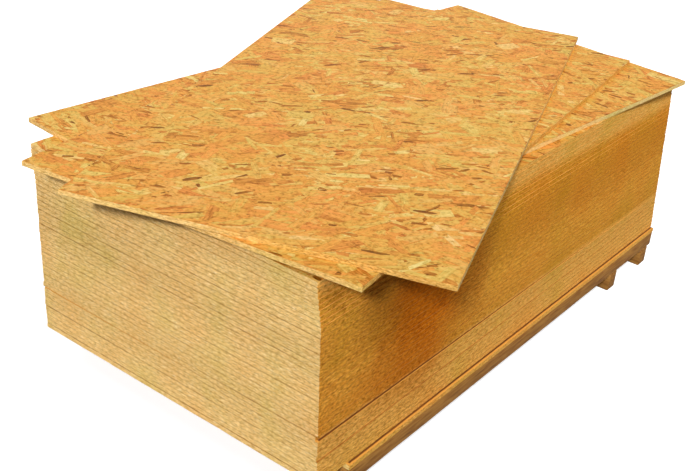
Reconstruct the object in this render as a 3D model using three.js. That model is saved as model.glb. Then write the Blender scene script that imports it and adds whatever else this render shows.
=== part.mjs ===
// A pack of oriented strand board on its timber base, with three loose sheets on top.
// Millimetres, +Z up. X runs along the pack's length, Y across its width.
// The origin is on the floor, under the middle of the whole stack's outline.
import * as THREE from "three";

// ---- Sheets
const SHEET_LENGTH = 2500;
const SHEET_WIDTH = 1250;
const SHEET_THICKNESS = 18;
const SHEET_ARRIS = 0.8; // the small flat that sawing and handling leave on every edge
const BED_GAP = 0.3; // air between faces that rest on each other

// ---- Pack
const PACK_COUNT = 39;
const LEAN_ALONG = -19; // where the pack's top lies, measured from its foot: it leans a little
const LEAN_ACROSS = 40;
const DRIFT_ALONG = 1.2; // how far a sheet may lie off its place in the pack
const DRIFT_ACROSS = 0.4;
const DRIFT_TURN = 0.0002; // how far a sheet may be turned, in radians
const DRIFT_SEED = 20741;
const SET_BACK_SHEET = 10; // the sheet, counted from the bottom, that lies in from the long side
const SET_BACK = 9; // its distance in at the near end; it is flush again at the far end
const SECOND_SET_BACK_SHEET = 6;
const SECOND_SET_BACK = 4;
const SKEWED_COUNT = 8; // topmost sheets, each lying in a little more than the one below
const SKEW_STEP = 1.8;

// ---- Loose sheets, from the bottom up. Each is placed by its near right corner, measured
// from the near right corner of the pack's top, and turned about it, in degrees.
const LOOSE_SHEETS = [
  { name: "loose_sheet_lower", along: 6, across: 163, turn: -4.9 },
  { name: "loose_sheet_middle", along: 17, across: -124, turn: 7.8 },
  { name: "loose_sheet_top", along: 191, across: -325, turn: 19.4 },
];

// ---- Timber base
const BASE_NEAR_INSET = 150; // from the pack's near end to the base's
const BASE_FAR_INSET = 5;
const BASE_PROUD = 15; // how far the base stands out from the pack along each long side
const BOARD_NAMES = ["long_board_right", "long_board_middle", "long_board_left"];
const BOARD_WIDTH = 120;
const BOARD_THICKNESS = 66;
const BEARER_WIDTH = 70;
const BEARER_HEIGHT = 80;
const BEARER_INSET = 25; // from the base's end to the outer face of an end bearer
const BEARER_SPACING = 325; // between the two bearers near the far end, centre to centre
const TIMBER_ARRIS = 3; // worn edge of the sawn timber

const osb = new THREE.MeshStandardMaterial({ color: 0xd9a65a, roughness: 0.8, metalness: 0 });
const softwood = new THREE.MeshStandardMaterial({ color: 0x9f6d3b, roughness: 0.9, metalness: 0 });

// A block of the given size, centred on the origin, with an equal chamfer on every edge.
// The outline is drawn smaller by the chamfer, and the bevel brings it out to its full size.
function chamferedBlock(length, width, height, chamfer) {
  const x = length / 2 - chamfer;
  const y = width / 2 - chamfer;
  const outline = new THREE.Shape([
    new THREE.Vector2(-x, -y),
    new THREE.Vector2(x, -y),
    new THREE.Vector2(x, y),
    new THREE.Vector2(-x, y),
  ]);
  const depth = height - 2 * chamfer;
  const geometry = new THREE.ExtrudeGeometry(outline, {
    depth,
    bevelThickness: chamfer,
    bevelSize: chamfer,
    bevelSegments: 1,
  });
  geometry.translate(0, 0, -depth / 2);
  return geometry;
}

function sheetGeometry(length, width) {
  return chamferedBlock(length, width, SHEET_THICKNESS, SHEET_ARRIS);
}

// Repeatable numbers from -1 to 1 (the minimal standard generator).
function scatter(seed) {
  const modulus = 2147483647;
  const multiplier = 16807;
  let state = seed;
  return () => {
    state = (state * multiplier) % modulus;
    return (2 * state) / modulus - 1;
  };
}

function addPiece(group, name, geometry, material, place) {
  const mesh = new THREE.Mesh(geometry, material);
  mesh.name = name;
  mesh.position.set(place.x, place.y, place.z);
  mesh.rotation.z = place.turn ?? 0;
  group.add(mesh);
}

// Cross bearers on the floor, long boards across them, and the base sheet.
// Returns the height of the base sheet's top.
function addBase(group) {
  const nearEnd = -SHEET_LENGTH / 2 + BASE_NEAR_INSET;
  const farEnd = SHEET_LENGTH / 2 - BASE_FAR_INSET;
  const length = farEnd - nearEnd;
  const middle = (farEnd + nearEnd) / 2;
  const width = SHEET_WIDTH + 2 * BASE_PROUD;

  const endBearer = BEARER_INSET + BEARER_WIDTH / 2;
  const bearers = {
    bearer_near: nearEnd + endBearer,
    bearer_inner: farEnd - endBearer - BEARER_SPACING,
    bearer_far: farEnd - endBearer,
  };
  const bearer = chamferedBlock(BEARER_WIDTH, width, BEARER_HEIGHT, TIMBER_ARRIS);
  for (const [name, x] of Object.entries(bearers)) {
    addPiece(group, name, bearer, softwood, { x, y: 0, z: BEARER_HEIGHT / 2 });
  }

  const boardBottom = BEARER_HEIGHT + BED_GAP;
  const board = chamferedBlock(length, BOARD_WIDTH, BOARD_THICKNESS, TIMBER_ARRIS);
  const boardPitch = (width - BOARD_WIDTH) / (BOARD_NAMES.length - 1);
  BOARD_NAMES.forEach((name, i) => {
    const y = -width / 2 + BOARD_WIDTH / 2 + boardPitch * i;
    addPiece(group, name, board, softwood, { x: middle, y, z: boardBottom + BOARD_THICKNESS / 2 });
  });

  const sheetBottom = boardBottom + BOARD_THICKNESS + BED_GAP;
  const place = { x: middle, y: 0, z: sheetBottom + SHEET_THICKNESS / 2 };
  addPiece(group, "base_sheet", sheetGeometry(length, width), osb, place);
  return sheetBottom + SHEET_THICKNESS;
}

// How far each sheet of the pack, counted from 1 at the bottom, lies in from the long side
// at its near end.
function nearInset(number) {
  if (number === SET_BACK_SHEET) {
    return SET_BACK;
  }
  if (number === SECOND_SET_BACK_SHEET) {
    return SECOND_SET_BACK;
  }
  return SKEW_STEP * Math.max(0, number - (PACK_COUNT - SKEWED_COUNT));
}

// The pack, from the bottom up: sheet 1 lies square on the base. Returns the height of its top.
function addPack(group, bottom) {
  const random = scatter(DRIFT_SEED);
  const pitch = SHEET_THICKNESS + BED_GAP;
  const sheet = sheetGeometry(SHEET_LENGTH, SHEET_WIDTH);
  for (let number = 1; number <= PACK_COUNT; number++) {
    const inset = nearInset(number);
    const rise = (number - 1) / (PACK_COUNT - 1);
    addPiece(group, "sheet_" + String(number).padStart(2, "0"), sheet, osb, {
      x: LEAN_ALONG * rise + DRIFT_ALONG * random(),
      y: LEAN_ACROSS * rise + DRIFT_ACROSS * random() + inset / 2,
      z: bottom + pitch * number - SHEET_THICKNESS / 2,
      turn: DRIFT_TURN * random() - inset / SHEET_LENGTH,
    });
  }
  return bottom + pitch * PACK_COUNT;
}

function addLooseSheets(group, bottom) {
  const sheet = sheetGeometry(SHEET_LENGTH, SHEET_WIDTH);
  const half = new THREE.Vector2(SHEET_LENGTH / 2, SHEET_WIDTH / 2);
  LOOSE_SHEETS.forEach(({ name, along, across, turn: degrees }, i) => {
    const turn = THREE.MathUtils.degToRad(degrees);
    const corner = new THREE.Vector2(along + LEAN_ALONG, across + LEAN_ACROSS).sub(half);
    const middle = half.clone().rotateAround(new THREE.Vector2(), turn).add(corner);
    const z = bottom + (SHEET_THICKNESS + BED_GAP) * (i + 1) - SHEET_THICKNESS / 2;
    addPiece(group, name, sheet, osb, { x: middle.x, y: middle.y, z, turn });
  });
}

const stack = new THREE.Group();
const baseTop = addBase(stack);
const packTop = addPack(stack, baseTop);
addLooseSheets(stack, packTop);

// The loose sheets overhang unevenly, so the outline's middle is found once all are in place.
const outlineMiddle = new THREE.Box3().setFromObject(stack).getCenter(new THREE.Vector3());
stack.position.set(-outlineMiddle.x, -outlineMiddle.y, 0);

const part = new THREE.Group();
part.add(stack);

export default part;
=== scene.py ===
import math

import bmesh
import bpy
import numpy as np
from mathutils import Matrix, Vector, noise


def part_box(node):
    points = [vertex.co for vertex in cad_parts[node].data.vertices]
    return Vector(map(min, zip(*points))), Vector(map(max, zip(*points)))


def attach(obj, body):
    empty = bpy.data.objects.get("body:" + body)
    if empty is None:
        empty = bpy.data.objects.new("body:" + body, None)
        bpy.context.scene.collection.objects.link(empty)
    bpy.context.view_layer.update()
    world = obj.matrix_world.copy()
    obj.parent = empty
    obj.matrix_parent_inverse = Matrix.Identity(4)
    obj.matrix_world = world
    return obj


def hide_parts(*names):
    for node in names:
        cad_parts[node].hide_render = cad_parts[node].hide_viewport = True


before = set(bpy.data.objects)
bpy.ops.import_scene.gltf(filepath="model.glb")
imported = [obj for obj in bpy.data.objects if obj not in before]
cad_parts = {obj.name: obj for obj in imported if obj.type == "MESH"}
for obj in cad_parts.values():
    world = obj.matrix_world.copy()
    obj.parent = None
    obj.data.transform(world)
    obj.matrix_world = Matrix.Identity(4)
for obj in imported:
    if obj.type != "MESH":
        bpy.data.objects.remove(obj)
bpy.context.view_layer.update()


# ---- Timber base: three cross bearers on the floor and three long boards across them.
# Rough sawn softwood gone brown from the weather. Each is one length of timber straight from
# the saw, with its arrises worn round and its faces a little uneven.
TIMBER_STATION = 0.045  # between the places where a face can dip
TIMBER_ARRIS = 0.004
TIMBER_UNEVEN = 0.0014  # how far the faces dip at most
DIPS_PER_METRE = 9
GRAIN_STRETCH = (0.09, 1, 1)  # the grain's scale along a length and across it
WEATHERED = [(0.25, (0.15, 0.054, 0.010)), (0.45, (0.31, 0.128, 0.022)),
             (0.60, (0.43, 0.205, 0.042)), (0.78, (0.25, 0.097, 0.017))]
WEATHER_BLOTCHES = [(0.3, (0.60, 0.58, 0.56)), (0.7, (1, 1, 1))]


def placed(name, data):
    """Puts a finished mesh, a lamp or the camera into the scene as one object."""
    thing = bpy.data.objects.new(name, data)
    bpy.context.scene.collection.objects.link(thing)
    return thing


def placed_bmesh(name, bm):
    """Writes a bmesh to a mesh and puts it into the scene."""
    mesh = bpy.data.meshes.new(name)
    bm.to_mesh(mesh)
    bm.free()
    return placed(name, mesh)


def timber_length(name):
    """Saws one bearer or board to its place, wears its arrises and makes its faces uneven."""
    low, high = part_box(name)
    size = high - low
    along = 0 if size.x > size.y else 1
    bm = bmesh.new()
    fitted = Matrix.Translation((low + high) / 2) @ Matrix.Diagonal((*size, 1))
    bmesh.ops.create_cube(bm, size=1, matrix=fitted)
    runs = [e for e in bm.edges
            if abs((e.verts[0].co - e.verts[1].co)[along]) > 0.5 * size[along]]
    stations = round(size[along] / TIMBER_STATION)
    bmesh.ops.subdivide_edges(bm, edges=runs, cuts=stations, use_grid_fill=True)
    arrises = [e for e in bm.edges if e.calc_face_angle(0) > 1]
    bmesh.ops.bevel(bm, geom=arrises, offset=TIMBER_ARRIS, offset_type="OFFSET",
                    affect="EDGES", segments=2, profile=0.5, material=-1)
    bm.normal_update()
    own = Vector((low.x, low.y, 7 * low.z))  # so that no two lengths dip alike
    for v in bm.verts:
        dip = 0.5 + 0.5 * noise.noise(v.co * DIPS_PER_METRE + own)
        v.co -= v.normal * TIMBER_UNEVEN * dip
    for f in bm.faces:
        f.smooth = True
    return placed_bmesh("sawn_" + name, bm), along


class Graph:
    """Adds nodes to the tree of a material or a group; most calls give back an output."""

    def __init__(self, tree):
        self.tree = tree

    def add(self, kind, inputs=None, **settings):
        """Adds a node. An input, by name or number, takes a value or another node's output."""
        node = self.tree.nodes.new(kind)
        for key, value in settings.items():
            setattr(node, key, value)
        for key, value in (inputs or {}).items():
            if isinstance(value, bpy.types.NodeSocket):
                self.tree.links.new(value, node.inputs[key])
            else:
                node.inputs[key].default_value = value
        return node

    def place(self):
        return self.add("ShaderNodeTexCoord").outputs["Object"]

    def parts(self, vector):
        return self.add("ShaderNodeSeparateXYZ", {"Vector": vector}).outputs

    def attribute(self, name):
        return self.add("ShaderNodeAttribute", attribute_name=name).outputs["Fac"]

    def uv(self, name):
        return self.add("ShaderNodeUVMap", uv_map=name).outputs[0]

    def mapped(self, vector, **inputs):
        return self.add("ShaderNodeMapping", {"Vector": vector, **inputs}).outputs[0]

    def vectors(self, operation, first, second):
        """Works on two vectors; the outputs are a vector and, for a distance, a value."""
        inputs = {0: first, 1: second}
        return self.add("ShaderNodeVectorMath", inputs, operation=operation).outputs

    def noise(self, vector, scale, detail, roughness=0.5, distortion=0.0):
        inputs = {"Vector": vector, "Scale": scale, "Detail": detail, "Roughness": roughness,
                  "Distortion": distortion}
        return self.add("ShaderNodeTexNoise", inputs).outputs[0]

    def math(self, operation, *values, clamped=False):
        inputs = dict(enumerate(values))
        return self.add("ShaderNodeMath", inputs, operation=operation, use_clamp=clamped).outputs[0]

    def spread(self, value, start, end, at_start, at_end, smooth=False):
        """Takes one value to another while the given one goes from start to end."""
        inputs = dict(enumerate((value, start, end, at_start, at_end)))
        kind = "SMOOTHSTEP" if smooth else "LINEAR"
        return self.add("ShaderNodeMapRange", inputs, interpolation_type=kind).outputs[0]

    def ramp(self, value, stops):
        """Colours a value from (position, colour) stops."""
        node = self.add("ShaderNodeValToRGB", {"Fac": value})
        elements = node.color_ramp.elements
        while len(elements) > 1:
            elements.remove(elements[-1])
        elements[0].position, elements[0].color = stops[0][0], (*stops[0][1], 1)
        for position, colour in stops[1:]:
            elements.new(position).color = (*colour, 1)
        return node.outputs[0]

    def between(self, factor, first, second):
        """Goes from one value to another as the factor goes from 0 to 1."""
        inputs = {0: factor, 2: first, 3: second}
        return self.add("ShaderNodeMix", inputs, data_type="FLOAT").outputs[0]

    def mix(self, factor, first, second, blend="MIX"):
        """Mixes two colours; each is an output or three numbers."""
        first, second = ((*c, 1) if isinstance(c, tuple) else c for c in (first, second))
        inputs = {0: factor, 6: first, 7: second}
        return self.add("ShaderNodeMix", inputs, data_type="RGBA", blend_type=blend).outputs[2]

    def tint(self, colour, by, factor=1.0):
        return self.mix(factor, colour, by, "MULTIPLY")

    def dress(self, shader, colour, relief=None, strength=0.0, depth=0.0):
        """Gives a shader its colour and, where there is one, its fine relief."""
        self.tree.links.new(colour, shader.inputs["Base Color"])
        if relief is not None:
            bump = self.add("ShaderNodeBump",
                            {"Height": relief, "Strength": strength, "Distance": depth})
            self.tree.links.new(bump.outputs[0], shader.inputs["Normal"])


def new_material(name, colour, roughness, specular):
    """A material of one plain colour, with its shader and the graph that can give it more."""
    material = bpy.data.materials.new(name)
    material.use_nodes = True
    shader = material.node_tree.nodes["Principled BSDF"]
    shader.inputs["Base Color"].default_value = (*colour, 1)
    shader.inputs["Roughness"].default_value = roughness
    shader.inputs["Specular IOR Level"].default_value = specular
    return material, shader, Graph(material.node_tree)


def wood_grain_group():
    """Streaks of early and late wood, and finer fibres, along X of the vector given to it."""
    group = bpy.data.node_groups.new("wood grain", "ShaderNodeTree")
    sockets = group.interface
    sockets.new_socket("Vector", in_out="INPUT", socket_type="NodeSocketVector")
    sockets.new_socket("Streak Scale", in_out="INPUT", socket_type="NodeSocketFloat")
    sockets.new_socket("Fibre Scale", in_out="INPUT", socket_type="NodeSocketFloat")
    sockets.new_socket("Streaks", in_out="OUTPUT", socket_type="NodeSocketFloat")
    sockets.new_socket("Fibres", in_out="OUTPUT", socket_type="NodeSocketFloat")
    graph = Graph(group)
    given = graph.add("NodeGroupInput").outputs
    lengthened = graph.vectors("MULTIPLY", given["Vector"], GRAIN_STRETCH)[0]
    streaks = graph.noise(lengthened, given["Streak Scale"], detail=3, distortion=0.6)
    fibres = graph.noise(lengthened, given["Fibre Scale"], detail=2)
    graph.add("NodeGroupOutput", {"Streaks": streaks, "Fibres": fibres})
    return group


wood_grain = wood_grain_group()


def softwood(name, along):
    """Weathered sawn softwood with its grain along one axis."""
    material, shader, graph = new_material(name, (0.36, 0.17, 0.06), roughness=0.85, specular=0.25)
    place = graph.place()
    turned = graph.mapped(place, Rotation=(0, 0, 0 if along == 0 else math.pi / 2))
    scales = {"Streak Scale": 90, "Fibre Scale": 620}
    grain = graph.add("ShaderNodeGroup", {"Vector": turned, **scales}, node_tree=wood_grain)
    wood = graph.ramp(grain.outputs["Streaks"], WEATHERED)
    blotches = graph.ramp(graph.noise(place, scale=7, detail=3), WEATHER_BLOTCHES)
    weathered = graph.tint(wood, blotches, 0.6)
    graph.dress(shader, weathered, grain.outputs["Fibres"], strength=0.4, depth=0.001)
    return material


softwood_along = {0: softwood("softwood board", 0), 1: softwood("softwood bearer", 1)}
for name in ("bearer_near", "bearer_inner", "bearer_far",
             "long_board_right", "long_board_middle", "long_board_left"):
    piece, along = timber_length(name)
    piece.data.materials.append(softwood_along[along])
    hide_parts(name)
    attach(piece, "root")


# ---- Base sheet and pack: one sheet of the board on the timber, and the whole sheets on it.
# Oriented strand board, wood strands and resin pressed into sheets and sawn to size. The saw
# leaves the strands' cut ends in thin layers, with small voids, and handling rubs the arrises.
TOUCHING = 1e-6  # a point this near to a sheet's end or face lies on it
EDGE_STEP = 0.0125  # between the stations along a cut edge
EDGE_ROWS = (0.0020, 0.0060, 0.0120, 0.0160)  # up the thickness
# How far in an edge lies: at least, more where it is worn, and more where it is rough.
CUT_FACE = (0.0001, 0.0, 0.0006)
SIDE_ARRIS = (0.0002, 0.0003, 0.0002)
END_ARRIS = (0.0004, 0.0016, 0.0005)
# How quickly that changes over a metre, and how far apart two sheets read it.
ROUGH_ALONG, ROUGH_UP, ROUGH_APART = 31, 900, 3.7
WORN_ALONG = 0.6  # of the roughness
CHIPS_ALONG, CHIPS_APART, CHIPS_UPPER = 17, 9.1, 40
CHIP_FROM = 0.6  # the noise past which an end is chipped
CHIP_SLOPE = 0.008  # how much deeper, for each unit past that
CHIP_HEIGHT = 0.003  # how far a chip reaches down from a face
MIDDLE_TONE, TONE_SWING, TONE_SCATTER = 0.3, 0.2, 12.9898  # a sheet's own tone, by its number
LOOSE_ARRIS_DIRT_AND_SHADE = 0.4  # on a loose sheet, against 1 in the pack
NEAR_END = 0.01  # how deep the near end's painted shade reaches
END_HALVES = (0.65, 0.45)  # shares of the width, from the end's left tones to its right ones


def sheet_frame(name):
    """A sheet's placing, with local x along it, y across it and z up, and its three sizes."""
    low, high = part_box(name)
    spots = [v.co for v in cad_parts[name].data.vertices]
    near_right = min(spots, key=lambda p: p.x + p.y)
    far_right = max(spots, key=lambda p: p.x - p.y)
    near_left = min(spots, key=lambda p: p.x - p.y)
    along = (far_right - near_right).to_2d()
    length, width = along.length, (near_left - near_right).to_2d().length
    along.normalize()
    place = Matrix(((along.x, -along.y, 0, near_right.x), (along.y, along.x, 0, near_right.y),
                    (0, 0, 1, low.z), (0, 0, 0, 1)))
    return place, length, width, high.z - low.z


def sheet_blank(length, width, thickness):
    """A sheet with stations round its outline, raised row by row from its underside."""
    bm = bmesh.new()
    outline = ((0, 0, 0), (length, 0, 0), (length, width, 0), (0, width, 0))
    ring = [bm.verts.new(p) for p in outline]
    sides = [bm.edges.new((ring[i], ring[(i + 1) % 4])) for i in range(4)]
    bmesh.ops.subdivide_edges(bm, edges=sides[0::2], cuts=round(length / EDGE_STEP))
    ends = [e for e in bm.edges if e.calc_length() > 0.5 * width]
    bmesh.ops.subdivide_edges(bm, edges=ends, cuts=round(width / EDGE_STEP))
    bmesh.ops.contextual_create(bm, geom=bm.edges[:])
    top, level = bm.faces[0], 0.0
    for height in (*EDGE_ROWS, thickness):
        grown = bmesh.ops.extrude_face_region(bm, geom=[top])["geom"]
        raised = [g for g in grown if isinstance(g, bmesh.types.BMVert)]
        bmesh.ops.translate(bm, vec=Vector((0, 0, height - level)), verts=raised)
        if level > 0:
            bmesh.ops.delete(bm, geom=[top], context="FACES_ONLY")
        top, level = next(g for g in grown if isinstance(g, bmesh.types.BMFace)), height
    return bm


def work_edges(bm, length, width, thickness, seed):
    """Roughens the cut faces, rubs the arrises and knocks chips off the ends."""
    for v in bm.verts:
        x, y, z = v.co
        spot = Vector((x * ROUGH_ALONG, y * ROUGH_ALONG, seed * ROUGH_APART))
        rough = 0.5 + 0.5 * noise.noise(spot + Vector((0, 0, z * ROUGH_UP)))
        worn = max(0, noise.noise(spot * WORN_ALONG))
        on_end = x < TOUCHING or x > length - TOUCHING
        at_arris = z < TOUCHING or z > thickness - TOUCHING
        least, by_wear, by_roughness = CUT_FACE
        if at_arris:
            least, by_wear, by_roughness = END_ARRIS if on_end else SIDE_ARRIS
        inward = least + by_wear * worn + by_roughness * rough
        apart = seed * CHIPS_APART + (CHIPS_UPPER if z > thickness / 2 else 0)
        chip = noise.noise(Vector((x * CHIPS_ALONG, y * CHIPS_ALONG, apart)))
        near_face = z < CHIP_HEIGHT or z > thickness - CHIP_HEIGHT
        if on_end and near_face and chip > CHIP_FROM:
            inward += CHIP_SLOPE * (chip - CHIP_FROM)
        v.co.x = min(max(x, inward), length - inward)
        v.co.y = min(max(y, inward), width - inward)
    bmesh.ops.recalc_face_normals(bm, faces=bm.faces[:])


def mark_edges(bm, width, thickness, own_tone, tones):
    """Notes what the cut edge's material reads: long side or end, tone, and dirt and painted shade.
    """
    arris = bm.verts.layers.float.new("arris")
    for v in bm.verts:
        if v.co.z < TOUCHING or v.co.z > thickness - TOUCHING:
            v[arris] = LOOSE_ARRIS_DIRT_AND_SHADE if tones else 1.0
        if tones and v.co.x < NEAR_END and v.co.y < 0.5 * width:
            v[arris] += tones["painted_end_shade"]
    long_side = bm.faces.layers.float.new("long_side")
    sheet_tone = bm.faces.layers.float.new("sheet_tone")
    for f in bm.faces:
        pressed_side = abs(f.normal.z) > 0.9 and len(f.verts) > 4
        f.material_index = 0 if pressed_side else 1
        lengthwise = abs(f.normal.y) > abs(f.normal.x)
        if not tones:
            f[long_side], f[sheet_tone] = float(lengthwise), own_tone
        elif lengthwise:
            f[long_side], f[sheet_tone] = tones["side"], tones["side_tone"]
        else:
            left_until, right_from = END_HALVES
            off_left = left_until - f.calc_center_median().y / width
            right = min(max(off_left / (left_until - right_from), 0), 1)
            f[long_side] = tones["left"] + (tones["right"] - tones["left"]) * right
            f[sheet_tone] = own_tone + (tones["right_tone"] - own_tone) * right


def sawn_sheet(name, seed, lowered=0.0, tones=None):
    """Cuts one sheet to its outline and works its edges. A loose sheet's have their own tones."""
    place, length, width, thickness = sheet_frame(name)
    thickness -= lowered
    bm = sheet_blank(length, width, thickness)
    work_edges(bm, length, width, thickness, seed)
    own_tone = MIDDLE_TONE + TONE_SWING * math.sin(seed * TONE_SCATTER)
    mark_edges(bm, width, thickness, own_tone, tones)
    bm.transform(place)
    return placed_bmesh("board_" + name, bm)


# Strands on a face that is hardly seen, as layers of cells: each layer's turn and offset, and
# how much of it is open to the layer below.
MOSAIC_CELL = (9, 42, 0)
MOSAIC_LAYERS = ((1.45, 3.1, 0), (0.5, 7.7, 0.4), (2.3, 1.9, 0.5), (1.9, 5.3, 0.55),
                 (1.1, 9.4, 0.6))
STRAND_COLOURS = [(0.00, (0.20, 0.070, 0.004)), (0.06, (0.34, 0.118, 0.007)),
                  (0.14, (0.50, 0.175, 0.016)), (0.26, (0.68, 0.270, 0.044)),
                  (0.42, (0.77, 0.335, 0.052)), (0.58, (0.75, 0.385, 0.068)),
                  (0.74, (0.73, 0.450, 0.096)), (0.88, (0.79, 0.530, 0.135)),
                  (1.00, (0.84, 0.600, 0.200))]
HIDDEN_SHADE = 0.86  # painted shade: this share of the colours on a face that shows


def strand_mosaic_group():
    """Flat strands seen from above: layers of stretched cells, each layer turned another way."""
    group = bpy.data.node_groups.new("strand mosaic", "ShaderNodeTree")
    group.interface.new_socket("Vector", in_out="INPUT", socket_type="NodeSocketVector")
    group.interface.new_socket("Tone", in_out="OUTPUT", socket_type="NodeSocketFloat")
    graph = Graph(group)
    given = graph.add("NodeGroupInput").outputs["Vector"]
    tone = None
    for turn, offset, least in MOSAIC_LAYERS:
        turned = graph.mapped(given, Rotation=(0, 0, turn), Location=(offset, offset / 3, 0))
        stretched = graph.vectors("MULTIPLY", turned, MOSAIC_CELL)[0]
        inputs = {"Vector": stretched, "Scale": 1, "Randomness": 0.9}
        cells = graph.add("ShaderNodeTexVoronoi", inputs, voronoi_dimensions="2D")
        parts = graph.add("ShaderNodeSeparateColor", {"Color": cells.outputs["Color"]}).outputs
        if tone is None:
            tone = parts[0]
            continue
        tone = graph.between(graph.math("GREATER_THAN", parts[1], least), tone, parts[0])
    graph.add("NodeGroupOutput", {"Tone": tone})
    return group


def pressed_face():
    """The pressed face of a sheet where it is hidden or faces down, darker as painted shade."""
    plain = (0.62, 0.30, 0.08)
    material, shader, graph = new_material("pressed face", plain, roughness=0.7, specular=0.3)
    place = graph.place()
    mosaic = graph.add("ShaderNodeGroup", {"Vector": place}, node_tree=strand_mosaic_group())
    darker = [(p, tuple(HIDDEN_SHADE * c for c in colour)) for p, colour in STRAND_COLOURS]
    graph.dress(shader, graph.ramp(mosaic.outputs["Tone"], darker))
    return material


# The base sheet stands proud of the pack, and a sheet lies set back on sheet 9, so a strip of
# both faces shows. It is rubbed clean this far in from the side, and past that it holds dirt
# and painted shade.
RUBBED_STRIP = {"base_sheet": 0.009, "sheet_09": 0.0042}
RUBBED_END = 0.010  # the same at the near end
RUBBED_FADE = 0.002
RUBBED_RAGGED = 0.004
RUBBED_COLOUR = (0.70, 0.33, 0.058)
GRIME_AND_PAINTED_SHADE = ((0.10, 0.032, 0.006), (0.20, 0.072, 0.012))
SOILED = ((0.27, 0.105, 0.015), (0.46, 0.20, 0.036))
DUSTY = ((0.56, 0.24, 0.035), (0.80, 0.42, 0.085))
LEDGED_SHEETS = 9  # topmost sheets, each with a narrow dusty ledge on it


def dirt_and_shade_face(name, dark, light, corner=None, strip=0.0):
    """The face of a sheet inside the pack: saw dirt over the strands, rubbed off near its side; in
    a recess, dirt and painted shade.
    """
    plain = (0.20, 0.085, 0.018)
    material, shader, graph = new_material(name, plain, roughness=0.9, specular=0.15)
    place = graph.place()
    dirt = graph.noise(place, scale=34, detail=4)
    colour = graph.ramp(dirt, [(0.3, dark), (0.7, light)])
    if corner is not None:
        spot = graph.parts(place)
        ragged = graph.math("MULTIPLY_ADD", dirt, RUBBED_RAGGED, spot["Y"])
        side, end = corner.y + strip, corner.x + RUBBED_END
        in_side = graph.spread(ragged, side, side + RUBBED_FADE, 0.0, 1.0)
        in_end = graph.spread(spot["X"], end, end + RUBBED_FADE, 0.0, 1.0)
        colour = graph.mix(graph.math("MINIMUM", in_side, in_end), RUBBED_COLOUR, colour)
    graph.dress(shader, colour)
    return material


# The cut edge's colours. On the long sides the strands are seen along their length and are
# deeper in colour, apart from a pale wedge below the top and a paler foot, both painted light.
END_STRANDS = [(0.28, (0.60, 0.32, 0.088)), (0.42, (0.80, 0.50, 0.170)),
               (0.55, (0.88, 0.59, 0.220)), (0.70, (0.96, 0.79, 0.480))]
SIDE_STRANDS = [(0.28, (0.50, 0.175, 0.018)), (0.42, (0.72, 0.285, 0.030)),
                (0.55, (0.83, 0.385, 0.048)), (0.72, (0.95, 0.540, 0.110))]
VOIDS = [(0.26, (0.36, 0.27, 0.17)), (0.37, (1, 1, 1))]
GRIT = [(0.35, (0.42, 0.33, 0.22)), (0.50, (0.97, 0.96, 0.93)), (0.65, (1.26, 1.36, 1.55))]
CLOUDS = [(0.30, (0.90, 0.96, 0.80)), (0.50, (1, 1, 1)), (0.70, (1.0, 0.91, 0.84))]
SHEET_TONES = [(0.0, (0.80, 0.77, 0.72)), (0.1, (0.93, 0.92, 0.90)), (0.5, (1, 1, 1)),
               (1.0, (1.06, 1.20, 1.32))]
WEDGE_HEIGHT = 0.812  # of the wedge's lower line, where it crosses x = 0
WEDGE_SLOPE = -0.03
WEDGE_FADE = (-0.035, 0.03)  # from below that line to above it
WEDGE_DEPTH = 0.48  # how much of the long side's deeper colour stays in the wedge
FOOT_DEPTH = 0.68  # and how much at the foot
FOOT_FADE = 0.02
LAYERS_UP = 16  # how many times thinner a layer is than its strands are long
END_GRIT = 0.58  # on the ends, against 1 on the long sides
GRIT_CALMS = (-0.7, 0.5)  # along the pack, from where it is full to where it is FAR_GRIT
FAR_GRIT = 0.55
# A darker, warmer band high on the long side, away from the near end.
DARKENED_BAND_UP, DARKENED_BAND_ALONG = (0.45, 0.70), (-0.9, 0.1)  # from none of it to all
DIRT_AND_SHADE_NOISE, DIRT_AND_SHADE_DEPTH = (0.36, 0.60), (0.35, 1.0)  # how it breaks up along the arrises
SIDE_DIRT_AND_SHADE = 0.28  # on the long sides, against 1 on the ends
# A reddish painted shadow on the long side, under the top loose sheet's overhang.
PAINTED_SHADOW_ALONG, PAINTED_SHADOW_UP = 0.56, 0.590  # from the pack's near end, and from the floor
PAINTED_SHADOW_REACH = (-0.05, 0.34)  # how far off the painted shadow starts to fade, and where it has gone
PAINTED_SHADOW_WAVY = -0.25
PAINTED_SHADOW_COLOUR = (0.70, 0.42, 0.12)
PAINTED_LIGHT_COLOUR = (1.12, 1.10, 0.92)
DARKENED_BAND_COLOUR = (0.93, 0.85, 0.64)
ARRIS_DIRT_AND_SHADE_COLOUR = (0.42, 0.30, 0.17)
pack_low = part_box("sheet_26")[0]
painted_shadow_place = (pack_low.x + PAINTED_SHADOW_ALONG, pack_low.y, PAINTED_SHADOW_UP)
foot_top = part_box("sheet_09")[1].z


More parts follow.
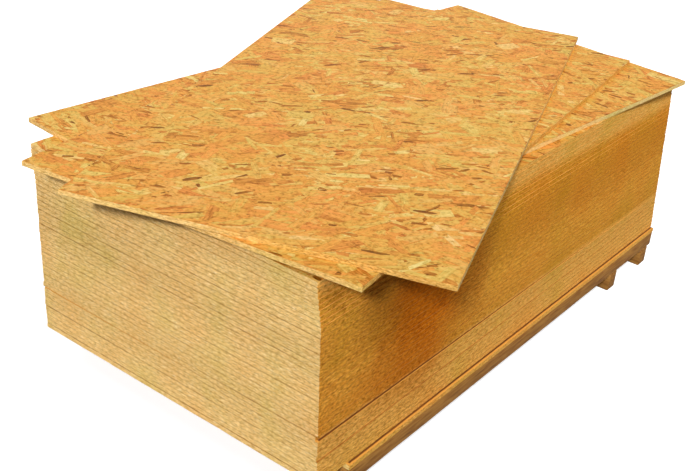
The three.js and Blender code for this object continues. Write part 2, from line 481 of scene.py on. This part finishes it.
def sawn_edge():
    """The cut edge: thin layers of strands, small voids, tones over many sheets, and painted light
    and shadow.
    """
    plain = (0.66, 0.40, 0.15)
    material, shader, graph = new_material("sawn edge", plain, roughness=0.9, specular=0.03)
    place = graph.place()
    spot = graph.parts(place)
    side = graph.attribute("long_side")
    layers = graph.mapped(place, Scale=(1, 1, LAYERS_UP))
    strands = graph.noise(layers, scale=42, detail=4, roughness=0.65)
    fine = graph.noise(layers, scale=190, detail=3, roughness=0.7)
    patch = graph.noise(place, scale=4.2, detail=3)

    # The strands, and how deep their colour is on the long side.
    line = graph.math("MULTIPLY_ADD", spot["X"], WEDGE_SLOPE, WEDGE_HEIGHT)
    above = graph.math("SUBTRACT", spot["Z"], line)
    wedge = graph.spread(above, *WEDGE_FADE, 1.0, WEDGE_DEPTH, smooth=True)
    foot = graph.spread(spot["Z"], foot_top, foot_top + FOOT_FADE, FOOT_DEPTH, 1.0)
    depth_left_by_painted_light = graph.math("MULTIPLY", foot, wedge)
    deep = graph.math("MULTIPLY", side, depth_left_by_painted_light)
    colour = graph.mix(deep, graph.ramp(strands, END_STRANDS), graph.ramp(strands, SIDE_STRANDS))

    # Voids between them, and grit, less of it on the ends and towards the far end.
    colour = graph.tint(colour, graph.ramp(fine, VOIDS), 0.9)
    grains = graph.mapped(place, Scale=(1, 1, 3.0))
    grit = graph.noise(grains, scale=68, detail=4, roughness=0.78)
    on_side = graph.math("MULTIPLY_ADD", side, 1 - END_GRIT, END_GRIT)
    calm = graph.spread(spot["X"], *GRIT_CALMS, 1.0, FAR_GRIT, smooth=True)
    colour = graph.tint(colour, graph.ramp(grit, GRIT), graph.math("MULTIPLY", on_side, calm))

    # Soft patches over many sheets, and a reddish painted shadow on the long side under the top
    # sheet's overhang.
    colour = graph.tint(colour, graph.ramp(patch, CLOUDS))
    off = graph.vectors("DISTANCE", place, painted_shadow_place)["Value"]
    wavy = graph.math("MULTIPLY_ADD", patch, PAINTED_SHADOW_WAVY, off)
    near = graph.spread(wavy, *PAINTED_SHADOW_REACH, 1.0, 0.0, smooth=True)
    colour = graph.tint(colour, PAINTED_SHADOW_COLOUR, graph.math("MULTIPLY", near, side))

    # Painted light: the wedge and the foot paler. The upper long side darker away from the near
    # end.
    painted_paleness = graph.spread(depth_left_by_painted_light, WEDGE_DEPTH, 1.0, 1.0, 0.0)
    colour = graph.tint(colour, PAINTED_LIGHT_COLOUR, graph.math("MULTIPLY", painted_paleness, side))
    high = graph.spread(spot["Z"], *DARKENED_BAND_UP, 0.0, 1.0, smooth=True)
    onward = graph.spread(spot["X"], *DARKENED_BAND_ALONG, 0.0, 1.0, smooth=True)
    darkened_band = graph.math("MULTIPLY", graph.math("MULTIPLY", high, onward), deep)
    colour = graph.tint(colour, DARKENED_BAND_COLOUR, darkened_band)

    # Each sheet's own tone, and broken lines of dirt and painted shade at the arrises, fainter on
    # the long side.
    colour = graph.tint(colour, graph.ramp(graph.attribute("sheet_tone"), SHEET_TONES))
    dashes = graph.spread(graph.noise(layers, scale=48, detail=3), *DIRT_AND_SHADE_NOISE, *DIRT_AND_SHADE_DEPTH)
    arris_dirt_and_shade = graph.math("MULTIPLY", graph.attribute("arris"), dashes)
    fainter = graph.math("MULTIPLY_ADD", side, SIDE_DIRT_AND_SHADE - 1, 1.0)
    colour = graph.tint(colour, ARRIS_DIRT_AND_SHADE_COLOUR, graph.math("MULTIPLY", arris_dirt_and_shade, fainter))
    graph.dress(shader, colour, fine, strength=0.5, depth=0.001)
    return material


pressed = pressed_face()
sawn = sawn_edge()
soiled = dirt_and_shade_face("soiled face", *SOILED)
dusty = dirt_and_shade_face("dusty face", *DUSTY)
face_of = {name: dirt_and_shade_face("grime and painted shade face " + name, *GRIME_AND_PAINTED_SHADE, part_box(name)[0], strip)
           for name, strip in RUBBED_STRIP.items()}
pack_names = sorted(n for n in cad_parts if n.startswith("sheet_"))
face_of.update({name: dusty for name in pack_names[-LEDGED_SHEETS:]})
for number, name in enumerate(["base_sheet"] + pack_names[:-1]):
    piece = sawn_sheet(name, number + 1)
    piece.data.materials.append(face_of.get(name, soiled))
    piece.data.materials.append(sawn)
    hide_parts(name)
    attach(piece, "root")


# ---- Top of the pack and the three loose sheets, with the face that shows.
# The same board. Its face is flat strands of wood, pressed over and under each other, each
# with its own grain and colour; they are laid strand by strand on a core, where they show.
CORE_DROP = 0.0010  # from the sheet's face down to the core's
CORE_SEED = 60
STRAND_COUNT = 5200  # over a whole sheet
STRAND_SEED = 300
STRAND_LIE = (1.75, 1.70, 1.85, 2.02)  # the turn that most strands of each sheet have
COVERED_FROM = 0.13  # further than this under another sheet there are no strands
SLIVER_SHARE = 0.15
CHUNK_SHARE = 0.08
# From least to most, half of what a strand measures.
HALF_LONG, SLIVER_HALF_LONG = (0.040, 0.082), (0.012, 0.046)
HALF_WIDE, SLIVER_HALF_WIDE, CHUNK_HALF_WIDE = (0.006, 0.019), (0.0026, 0.0095), (0.019, 0.034)
# For a sliver and for any other strand: how far it may turn from the others' way, how many
# lie any way at all, and how much they bend.
TURN_SPREAD = (0.28, 0.46)
STRAY_SHARE = (0.10, 0.24)
BOW_SPREAD = (0.07, 0.012)
BOW_LEVEL = 0.4  # keeps a bent strand about where a straight one would lie
SLIVER_TAPER = (0.12, 0.95)
CORNER_PLAY = (0.10, 0.13)  # of the half length and the half width
HIGHEST_STRAND = 0.00009  # below the sheet's face
STRAND_STEP = 0.00055  # from the highest strand's face to the lowest's
SLIVER_STEP = 0.25  # of that: slivers lie near the top
STRAND_TILT = 0.00007
STRAND_FOOT = 0.0003  # below the core's face
TOP_INSET, THINNEST = 0.0005, 0.001  # a strand's top is this much narrower on each side
SHEET_MARGIN = (0.0011, 0.0006)  # at a sheet's edge: at least, and up to so much more
SHORTEST_SIDE = 0.00008
MARGIN_SEED, SHAPING_SEED = 1000, 2000  # added to the seed of a sheet's strands
OWN_SEEDS = 50  # each strand reads its grain somewhere else, up to this far off
# Tones run from 0, dark brown, to 1, pale. Most strands lie round the common tone, in patches.
COMMON_TONE, TONE_SPREAD, TONE_RANGE = 0.56, 0.13, (0.26, 0.90)
PATCH_SWING, PATCHES_PER_METRE = 0.22, 4
# What share of the strands, or for the dark ones of the slivers, and from which tone to which.
RED_TONES = (0.09, 0.17, 0.34)
PALE_TONES = (0.04, 0.82, 0.96)
DARK_TONES = (0.66, 0.0, 0.25)
# A loose sheet's cut edges: how much its sides, and the right and left halves of its ends, are
# like a long side of the pack, the tones of the first two, and the painted shade on its near end.
LOOSE_EDGE_TONES = {
    "loose_sheet_lower": dict(side=0.12, right=0.15, left=0.25,
                              side_tone=0.90, right_tone=0.0, painted_end_shade=1.6),
    "loose_sheet_middle": dict(side=0.90, right=0.35, left=0.25,
                               side_tone=0.20, right_tone=0.3, painted_end_shade=0.0),
    "loose_sheet_top": dict(side=0.10, right=0.80, left=0.20,
                            side_tone=0.55, right_tone=0.0, painted_end_shade=0.0),
}
OUTLINE = np.array([(-1, -0.86), (-0.5, -1), (0.45, -1), (1, -0.88),
                    (1, 0.88), (0.5, 1), (-0.45, 1), (-1, 0.86)])
CORNERS = len(OUTLINE)


def covered(spot, above):
    """True if a point lies well under one of the sheets above."""
    for inverse, length, width in above:
        local = inverse @ Vector((spot.x, spot.y, 0))
        if (COVERED_FROM < local.x < length - COVERED_FROM
                and COVERED_FROM < local.y < width - COVERED_FROM):
            return True
    return False


def strand_middles(rng, place, length, width, above):
    """Spreads strands over a sheet in a random order, where no other sheet covers them."""
    columns = round(math.sqrt(STRAND_COUNT * length / width))
    rows = round(STRAND_COUNT / columns)
    grid = np.stack(np.meshgrid(np.arange(columns), np.arange(rows)), -1).reshape(-1, 2)
    middles = (grid + rng.uniform(0, 1, grid.shape)) * (length / columns, width / rows)
    bare = [not covered(place @ Vector((x, y, 0)), above) for x, y in middles]
    middles = middles[bare]
    return middles[rng.permutation(len(middles))]


def cut_strands(rng, shaping, count, lie):
    """Cuts strands, slivers and wide chunks. Slivers taper, all bend, and most lie one way."""
    kind = rng.random(count)
    half_long = rng.uniform(*HALF_LONG, count)
    half_wide = rng.uniform(*HALF_WIDE, count)
    sliver = kind < SLIVER_SHARE
    half_wide[sliver] = rng.uniform(*SLIVER_HALF_WIDE, sliver.sum())
    half_long[sliver] = rng.uniform(*SLIVER_HALF_LONG, sliver.sum())
    chunk = kind > 1 - CHUNK_SHARE
    half_wide[chunk] = rng.uniform(*CHUNK_HALF_WIDE, chunk.sum())
    turn = rng.normal(lie, np.where(sliver, *TURN_SPREAD), count)
    stray = rng.random(count) < np.where(sliver, *STRAY_SHARE)
    turn[stray] = rng.uniform(0, math.pi, stray.sum())
    outline = OUTLINE + rng.uniform(-1, 1, (count, CORNERS, 2)) * CORNER_PLAY
    taper = np.where(sliver[:, None], shaping.uniform(*SLIVER_TAPER, (count, 2)), 1.0)
    outline[:, OUTLINE[:, 0] == -1, 1] *= taper[:, :1]
    outline[:, OUTLINE[:, 0] == 1, 1] *= taper[:, 1:]
    bow = shaping.normal(0, np.where(sliver, *BOW_SPREAD), count)[:, None]
    flat = outline * np.stack([half_long, half_wide], -1)[:, None]
    flat[..., 1] += bow * (outline[..., 0] ** 2 - BOW_LEVEL) * half_long[:, None]
    return outline, flat, turn, half_wide, sliver


def strand_tones(rng, middles, sliver, seed):
    """A tone for each strand, in soft patches, with some red, some pale and some dark slivers."""
    count = len(middles)
    patch = np.array([noise.noise(Vector((x, y, seed))) for x, y in middles * PATCHES_PER_METRE])
    tone = rng.normal(COMMON_TONE, TONE_SPREAD, count) + PATCH_SWING * patch
    tone = np.clip(tone, *TONE_RANGE)
    for among, (share, low, high) in ((True, RED_TONES), (True, PALE_TONES), (sliver, DARK_TONES)):
        picked = among & (rng.random(count) < share)
        tone[picked] = rng.uniform(low, high, picked.sum())
    return tone


def raised_strands(foot, top, flat, tone, own):
    """Draws every strand's foot up to its top, and notes what the strand's wood reads."""
    on_rim = np.abs(OUTLINE) > 0.8  # the cut back corners count as well
    span = np.where(on_rim, np.sign(OUTLINE), OUTLINE).tolist()
    bm = bmesh.new()
    number = bm.verts.layers.int.new("number")
    tone_layer = bm.verts.layers.float.new("tone")
    seed_layer = bm.verts.layers.float.new("seed")
    for i, points in enumerate(foot.tolist()):
        ring = [bm.verts.new(point) for point in points]
        for corner, v in enumerate(ring):
            v[number], v[tone_layer], v[seed_layer] = i * CORNERS + corner, tone[i], own[i]
        bm.faces.new(ring)

    # Each foot runs anticlockwise, so that extruding upwards leaves every face outwards.
    grown = bmesh.ops.extrude_face_region(bm, geom=bm.faces[:])["geom"]
    places = top.reshape(-1, 3).tolist()
    for v in grown:
        if isinstance(v, bmesh.types.BMVert):
            v.co = places[v[number]]

    grain_layer = bm.loops.layers.uv.new("grain")
    span_layer = bm.loops.layers.uv.new("span")
    along_strand = flat.reshape(-1, 2).tolist()
    for f in bm.faces:
        for loop in f.loops:
            at = loop.vert[number]
            loop[grain_layer].uv = along_strand[at]
            loop[span_layer].uv = span[at % CORNERS]
    bm.verts.layers.int.remove(number)
    return bm


def lay_strands(name, seed, above, lie):
    """Presses strands into the top of a sheet, each later one over the earlier ones."""
    place, length, width, thickness = sheet_frame(name)
    rng = np.random.default_rng(seed)
    middles = strand_middles(rng, place, length, width, above)
    count = len(middles)
    shaping = np.random.default_rng(seed + SHAPING_SEED)
    outline, flat, turn, half_wide, sliver = cut_strands(rng, shaping, count, lie)

    # The foot is the whole outline; the top is a little smaller, at its own height and tilt.
    middle_x, middle_y = middles[:, :1], middles[:, 1:]
    cosine, sine = np.cos(turn)[:, None], np.sin(turn)[:, None]
    x = middle_x + flat[..., 0] * cosine - flat[..., 1] * sine
    y = middle_y + flat[..., 0] * sine + flat[..., 1] * cosine
    depth = STRAND_STEP * (1 - (np.arange(count) + 1) / count)
    depth[sliver] = STRAND_STEP * rng.uniform(0, SLIVER_STEP, sliver.sum())
    tilt = rng.uniform(-1, 1, (count, 1)) * STRAND_TILT * outline[..., 0]
    z = thickness - HIGHEST_STRAND - depth[:, None] + tilt
    inset = 1 - TOP_INSET / np.maximum(half_wide, THINNEST)[:, None]
    top = np.stack([middle_x + (x - middle_x) * inset, middle_y + (y - middle_y) * inset, z], -1)
    foot = np.stack([x, y, np.full_like(x, thickness - CORE_DROP - STRAND_FOOT)], -1)
    least, more = SHEET_MARGIN
    margin = least + np.random.default_rng(seed + MARGIN_SEED).uniform(0, more, (count, 1))
    for ring in (top, foot):
        ring[..., 0] = np.clip(ring[..., 0], margin, length - margin)
        ring[..., 1] = np.clip(ring[..., 1], margin, width - margin)

    tone = strand_tones(rng, middles, sliver, seed)
    own = rng.uniform(0, OWN_SEEDS, count)

    # Strands that the sheet's edge cuts down to almost nothing are left out.
    rings = np.stack([top, foot], 1)[..., :2]
    shortest = np.linalg.norm(rings - np.roll(rings, 1, 2), axis=-1).min((1, 2))
    whole = shortest > SHORTEST_SIDE
    bm = raised_strands(*(values[whole] for values in (foot, top, flat, tone, own)))
    bm.transform(place)
    return placed_bmesh("strands_" + name, bm)


FIBRES = [(0.3, (0.74, 0.66, 0.46)), (0.6, (1, 1, 1))]
STREAK_SWING = 0.8  # of a strand's tone, from its darkest streak to its palest
STRAND_RIM_SHADE = (0.64, 0.46, 0.22)
RIM_FROM, RIM_DEPTH = 0.86, 0.45  # of the half width, and how strong it gets
RESIN = [(0.34, (0.50, 0.40, 0.22)), (0.46, (0.96, 0.97, 0.98)), (0.62, (1.10, 1.13, 1.34))]
STRAND_TINTS = [(0.46, (0.95, 1.03, 1.02)), (0.71, (1.0, 1.0, 1.0)), (0.95, (1.04, 0.94, 1.06))]
OWN_TINT = 0.42  # how far a strand's own tint lies from the cloud's


def strand_wood():
    """A strand's own wood: tone from its attribute, grain along its length, painted shade at its
    rim.
    """
    plain = (0.74, 0.38, 0.09)
    material, shader, graph = new_material("strand wood", plain, roughness=0.7, specular=0.08)
    place = graph.place()
    seed = graph.attribute("seed")
    own = graph.add("ShaderNodeCombineXYZ", {0: seed, 1: seed, 2: seed}).outputs[0]
    spot = graph.vectors("ADD", graph.uv("grain"), own)[0]
    scales = {"Streak Scale": 230, "Fibre Scale": 800}
    grain = graph.add("ShaderNodeGroup", {"Vector": spot, **scales}, node_tree=wood_grain)

    # The strand's tone, swung by its streaks, then its fibres, and painted shade at its rim.
    swing = graph.math("MULTIPLY_ADD", grain.outputs["Streaks"], STREAK_SWING, -STREAK_SWING / 2)
    toned = graph.math("ADD", graph.attribute("tone"), swing, clamped=True)
    colour = graph.ramp(toned, STRAND_COLOURS)
    colour = graph.tint(colour, graph.ramp(grain.outputs["Fibres"], FIBRES), 0.8)
    across = graph.math("ABSOLUTE", graph.parts(graph.uv("span"))["Y"])
    rim = graph.spread(across, RIM_FROM, 1.0, 0.0, RIM_DEPTH, smooth=True)
    colour = graph.tint(colour, STRAND_RIM_SHADE, rim)

    # Specks of resin, and a tint that differs from strand to strand and in wide clouds.
    mottle = graph.noise(place, scale=70, detail=4, roughness=0.65)
    colour = graph.tint(colour, graph.ramp(mottle, RESIN), 0.75)
    hue = graph.math("FRACT", seed)
    clouds = graph.noise(place, scale=5.5, detail=2)
    leaning = graph.math("MULTIPLY_ADD", hue, OWN_TINT, clouds)
    colour = graph.tint(colour, graph.ramp(leaning, STRAND_TINTS))
    graph.dress(shader, colour, grain.outputs["Fibres"], strength=0.25, depth=0.0005)
    return material


strand = strand_wood()
facing = [pack_names[-1], "loose_sheet_lower", "loose_sheet_middle", "loose_sheet_top"]
for i, name in enumerate(facing):
    above = [(place.inverted(), length, width)
             for place, length, width, _ in map(sheet_frame, facing[i + 1:])]
    core = sawn_sheet(name, CORE_SEED + i, CORE_DROP, LOOSE_EDGE_TONES.get(name))
    core.data.materials.append(pressed)
    core.data.materials.append(sawn)
    face = lay_strands(name, STRAND_SEED + i, above, STRAND_LIE[i])
    face.data.materials.append(strand)
    for piece in (core, face):
        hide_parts(name)
        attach(piece, "root")


# ---- Floor, lamps and camera: a wide pale floor takes the stack's shadow in a pale room.
# A crisp lamp stands a little above and to the left of the camera, which looks down on the
# near right corner. Soft ones stand towards the near end, over the right side and at the back.
FLOOR_SIZE = 60
FLOOR_SEEN = (0.86, 0.86, 0.86)
FLOOR_LIFT = 0.48  # its own light, which keeps it near white round the shadow
FLOOR_BOUNCE = (0.18, 0.18, 0.18)  # the colour that it lends to the stack
ROOM_LIGHT = 0.12


def seen_rays(graph):
    """1 for what is looked at, straight or through glass or a mirror, and 0 for light."""
    rays = graph.add("ShaderNodeLightPath").outputs
    seen = graph.math("MAXIMUM", rays["Is Camera Ray"], rays["Is Glossy Ray"])
    return graph.math("MAXIMUM", seen, rays["Is Transmission Ray"])


bpy.ops.mesh.primitive_plane_add(size=FLOOR_SIZE, location=(0, 0, 0))
floor = bpy.context.object
floor.name = "floor"
floor_paint, shader, graph = new_material("floor", FLOOR_SEEN, roughness=1.0, specular=0.0)
seen = seen_rays(graph)
graph.dress(shader, graph.mix(seen, FLOOR_BOUNCE, FLOOR_SEEN))
shader.inputs["Emission Color"].default_value = (1, 1, 1, 1)
lift = graph.math("MULTIPLY", seen, FLOOR_LIFT)
graph.tree.links.new(lift, shader.inputs["Emission Strength"])
floor.data.materials.append(floor_paint)

world = bpy.data.worlds.new("room")
bpy.context.scene.world = world
world.use_nodes = True
background = world.node_tree.nodes["Background"]
background.inputs["Color"].default_value = (1, 1, 1, 1)
graph = Graph(world.node_tree)
strength = graph.between(seen_rays(graph), ROOM_LIGHT, 1.0)
graph.tree.links.new(strength, background.inputs["Strength"])

# Each lamp's strength, how wide it looks in degrees, and which way it lies from the stack.
LAMPS = {"near end": (0.20, 20, (-0.86, 0.06, 0.50)),
         "right side": (1.53, 30, (-0.23, -0.60, 0.77)),
         "crisp": (2.75, 6, (-0.760, -0.322, 0.563)),
         "back": (1.00, 30, (0.68, 0.55, 0.36))}
for name, (energy, wide, toward) in LAMPS.items():
    light = bpy.data.lights.new(name, "SUN")
    light.energy = energy
    light.angle = math.radians(wide)
    lamp = placed(name, light)
    lamp.rotation_mode = "QUATERNION"
    lamp.rotation_quaternion = Vector(toward).to_track_quat("Z", "Y")

CAMERA_YAW, CAMERA_PITCH, CAMERA_ROLL = (math.radians(a) for a in (35.17, 25.26, 5.81))
CAMERA_FROM_CORNER = Vector((-2.3226, -1.6532, 1.6803))  # from the pack's near right top corner
CAMERA_LENS, CAMERA_SENSOR = 61.25, 36
CAMERA_SHIFT = (0.0103, -0.0843)
CAMERA_SIGHT = 100
camera = bpy.data.cameras.new("camera")
camera.lens = CAMERA_LENS
camera.sensor_width = CAMERA_SENSOR
camera.shift_x, camera.shift_y = CAMERA_SHIFT
camera.clip_end = CAMERA_SIGHT
ahead = Vector((math.cos(CAMERA_PITCH) * math.cos(CAMERA_YAW),
                math.cos(CAMERA_PITCH) * math.sin(CAMERA_YAW), -math.sin(CAMERA_PITCH)))
level = Vector((math.sin(CAMERA_YAW), -math.cos(CAMERA_YAW), 0))
upright = level.cross(ahead)
right = level * math.cos(CAMERA_ROLL) + upright * math.sin(CAMERA_ROLL)
up = upright * math.cos(CAMERA_ROLL) - level * math.sin(CAMERA_ROLL)
top_low, top_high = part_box(pack_names[-1])
stand = Vector((top_low.x, top_low.y, top_high.z)) + CAMERA_FROM_CORNER
view = placed("camera", camera)
view.matrix_world = Matrix.Translation(stand) @ Matrix((right, up, -ahead)).transposed().to_4x4()
bpy.context.scene.camera = view
bpy.context.scene.view_settings.view_transform = "Standard"
